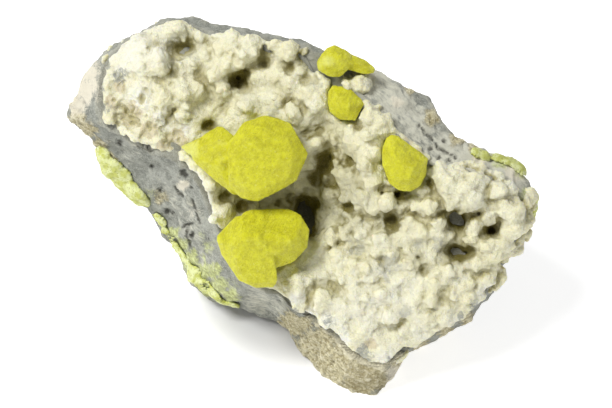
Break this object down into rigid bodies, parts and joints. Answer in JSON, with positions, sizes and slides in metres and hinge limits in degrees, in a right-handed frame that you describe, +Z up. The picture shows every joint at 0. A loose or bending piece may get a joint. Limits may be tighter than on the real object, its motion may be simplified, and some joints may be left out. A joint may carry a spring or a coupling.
{
  "type": "native sulfur crystal specimen",
  "caption": "Loose mineral specimen: sulfur crystals on a knobbly calcite crust lining a hollow in a broken piece of limestone, resting on its flat base.",
  "frame": {"origin": "bottom centre of the specimen's box, on the surface it rests on", "axes": "+X to the right along the stone's length, seen from the crystals' side; -Y out of the crystal-bearing face; +Z up from the flat base"},
  "size_m": [0.1037, 0.0665, 0.0703],
  "materials": {
    "limestone": "grey limestone, matt and broken, with a tan weathered rind in places",
    "calcite": "cream to white, sugary microcrystals, brown in the crevices",
    "sulfur_crystal": "lemon yellow, translucent, frosted faces with bright glints",
    "sulfur_mass": "pale yellow-green, fine-grained and matt"
  },
  "bodies": {
    "root": {"limestone_matrix": "limestone", "calcite_crust": "calcite", "sulfur_crystal_main": "sulfur_crystal", "sulfur_crystal_lower": "sulfur_crystal", "sulfur_crystal_rim": "sulfur_crystal", "sulfur_crystal_upper": "sulfur_crystal", "sulfur_crystal_right": "sulfur_crystal", "sulfur_patch_left": "sulfur_mass", "sulfur_vein_left": "sulfur_mass", "sulfur_patch_edge_right": "sulfur_mass", "sulfur_patch_top_right": "sulfur_mass"}
  },
  "joints": []
}
